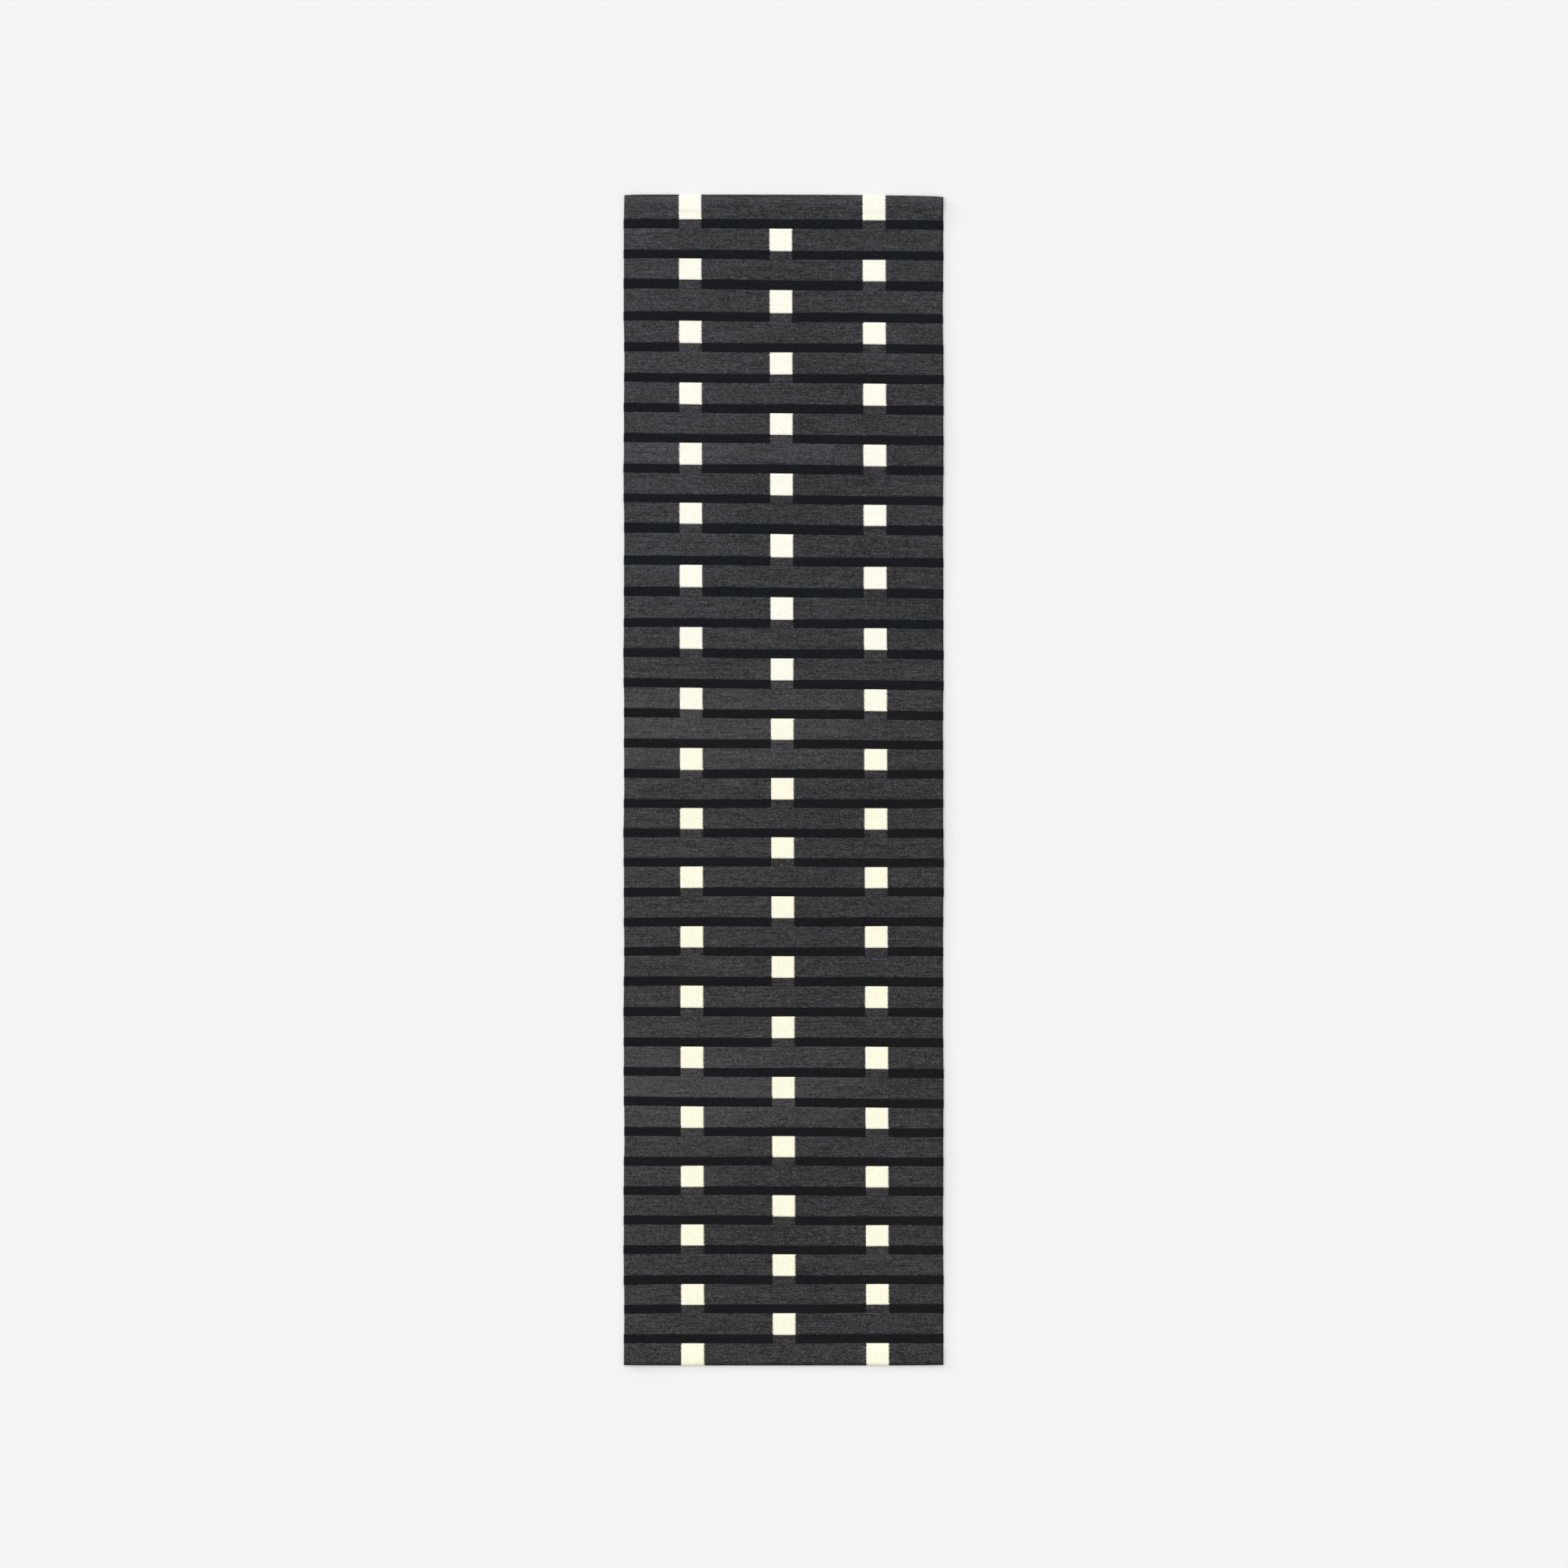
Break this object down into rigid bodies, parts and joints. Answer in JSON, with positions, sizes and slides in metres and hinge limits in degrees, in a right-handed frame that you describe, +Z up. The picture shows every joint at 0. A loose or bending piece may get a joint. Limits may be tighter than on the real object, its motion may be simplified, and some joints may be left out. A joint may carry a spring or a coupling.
{
  "type": "runner rug",
  "caption": "Flat-woven runner rug with crosswise bands, dovetailed colour blocks, corded long edges and folded-under stitched ends.",
  "frame": {"origin": "middle of the rug's underside, on the floor that it lies on", "axes": "+X across the width, +Y along the length towards the end with band 01, +Z up from the floor"},
  "size_m": [0.75, 2.75, 0.0058],
  "materials": {
    "charcoal_wool": "matt weft-faced wool, charcoal melange",
    "black_wool": "matt weft-faced wool, blue-black",
    "cream_wool": "matt weft-faced wool, undyed cream",
    "cotton_warp": "matt twisted cotton cord",
    "cotton_web": "matt plain cotton web, dyed to match",
    "stitching_thread": "waxed sewing thread, dark grey"
  },
  "bodies": {
    "root": {"charcoal_band_01": "charcoal_wool", "charcoal_band_02": "charcoal_wool", "charcoal_band_03": "charcoal_wool", "charcoal_band_04": "charcoal_wool", "charcoal_band_05": "charcoal_wool", "charcoal_band_06": "charcoal_wool", "charcoal_band_07": "charcoal_wool", "charcoal_band_08": "charcoal_wool", "charcoal_band_09": "charcoal_wool", "charcoal_band_10": "charcoal_wool", "charcoal_band_11": "charcoal_wool", "charcoal_band_12": "charcoal_wool", "charcoal_band_13": "charcoal_wool", "charcoal_band_14": "charcoal_wool", "charcoal_band_15": "charcoal_wool", "charcoal_band_16": "charcoal_wool", "charcoal_band_17": "charcoal_wool", "charcoal_band_18": "charcoal_wool", "charcoal_band_19": "charcoal_wool", "charcoal_band_20": "charcoal_wool", "charcoal_band_21": "charcoal_wool", "charcoal_band_22": "charcoal_wool", "charcoal_band_23": "charcoal_wool", "charcoal_band_24": "charcoal_wool", "charcoal_band_25": "charcoal_wool", "charcoal_band_26": "charcoal_wool", "charcoal_band_27": "charcoal_wool", "charcoal_band_28": "charcoal_wool", "charcoal_band_29": "charcoal_wool", "charcoal_band_30": "charcoal_wool", "charcoal_band_31": "charcoal_wool", "charcoal_band_32": "charcoal_wool", "charcoal_band_33": "charcoal_wool", "charcoal_band_34": "charcoal_wool", "charcoal_band_35": "charcoal_wool", "charcoal_band_36": "charcoal_wool", "charcoal_band_37": "charcoal_wool", "charcoal_band_38": "charcoal_wool", "charcoal_band_39": "charcoal_wool", "black_stripes_left_margin": "black_wool", "black_stripes_centre": "black_wool", "black_stripes_right_margin": "black_wool", "black_stripes_left_half": "black_wool", "black_stripes_right_half": "black_wool", "cream_blocks_left": "cream_wool", "charcoal_gap_blocks_left": "charcoal_wool", "cream_blocks_middle": "cream_wool", "charcoal_gap_blocks_middle": "charcoal_wool", "cream_blocks_right": "cream_wool", "charcoal_gap_blocks_right": "charcoal_wool", "hem_web_top": "cotton_web", "hem_stitches_top": "stitching_thread", "hem_web_bottom": "cotton_web", "hem_stitches_bottom": "stitching_thread", "selvedge_cord_left": "cotton_warp", "selvedge_cord_right": "cotton_warp", "warp_threads": "cotton_warp"}
  },
  "joints": []
}
